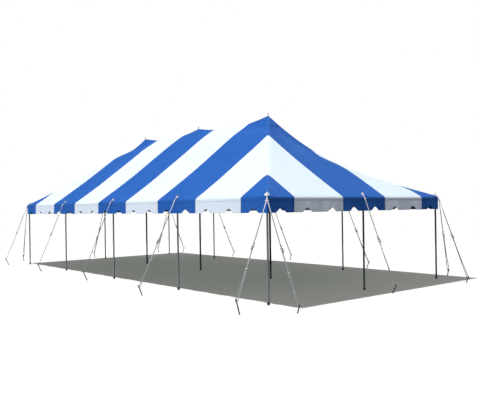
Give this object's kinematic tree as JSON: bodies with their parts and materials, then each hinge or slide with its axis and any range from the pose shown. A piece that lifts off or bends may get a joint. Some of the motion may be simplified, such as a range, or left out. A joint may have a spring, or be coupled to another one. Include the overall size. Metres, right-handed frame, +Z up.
{
  "type": "party tent",
  "caption": "Open-sided pole tent with a striped hipped canopy, scalloped valance, round poles, ratchet guy lines and ground stakes.",
  "frame": {"origin": "on the ground at the foot of the middle centre pole, which is the middle of the tent", "axes": "+X along the tent's length to its right end, -Y to its front, +Z up"},
  "size_m": [14.7583, 8.5942, 4.415],
  "materials": {
    "blue_vinyl": "satin coated vinyl",
    "white_vinyl": "satin coated vinyl",
    "galvanised_steel": "dull galvanised tube",
    "white_webbing": "woven webbing and rope",
    "stake_steel": "dark bare steel"
  },
  "bodies": {
    "root": {"blue_back_left_corner_panel": "blue_vinyl", "blue_back_right_corner_panel": "blue_vinyl", "blue_front_left_corner_panel": "blue_vinyl", "blue_front_right_corner_panel": "blue_vinyl", "blue_left_end_panel": "blue_vinyl", "blue_middle_panel": "blue_vinyl", "blue_right_end_panel": "blue_vinyl", "centre_pole_1": "galvanised_steel", "centre_pole_2": "galvanised_steel", "centre_pole_3": "galvanised_steel", "guy_back_2": "white_webbing", "guy_back_3": "white_webbing", "guy_back_4": "white_webbing", "guy_front_2": "white_webbing", "guy_front_3": "white_webbing", "guy_front_4": "white_webbing", "guy_left_end": "white_webbing", "guy_right_end": "white_webbing", "guys_back_1": "white_webbing", "guys_back_5": "white_webbing", "guys_front_1": "white_webbing", "guys_front_5": "white_webbing", "pole_back_1": "galvanised_steel", "pole_back_2": "galvanised_steel", "pole_back_3": "galvanised_steel", "pole_back_4": "galvanised_steel", "pole_back_5": "galvanised_steel", "pole_front_1": "galvanised_steel", "pole_front_2": "galvanised_steel", "pole_front_3": "galvanised_steel", "pole_front_4": "galvanised_steel", "pole_front_5": "galvanised_steel", "pole_left_end": "galvanised_steel", "pole_right_end": "galvanised_steel", "stake_back_1_a": "stake_steel", "stake_back_1_b": "stake_steel", "stake_back_2": "stake_steel", "stake_back_3": "stake_steel", "stake_back_4": "stake_steel", "stake_back_5_a": "stake_steel", "stake_back_5_b": "stake_steel", "stake_front_1_a": "stake_steel", "stake_front_1_b": "stake_steel", "stake_front_2": "stake_steel", "stake_front_3": "stake_steel", "stake_front_4": "stake_steel", "stake_front_5_a": "stake_steel", "stake_front_5_b": "stake_steel", "stake_left_end": "stake_steel", "stake_right_end": "stake_steel", "white_back_left_corner_panel": "white_vinyl", "white_back_right_corner_panel": "white_vinyl", "white_front_left_corner_panel": "white_vinyl", "white_front_right_corner_panel": "white_vinyl", "white_left_panel": "white_vinyl", "white_right_panel": "white_vinyl"}
  },
  "joints": []
}
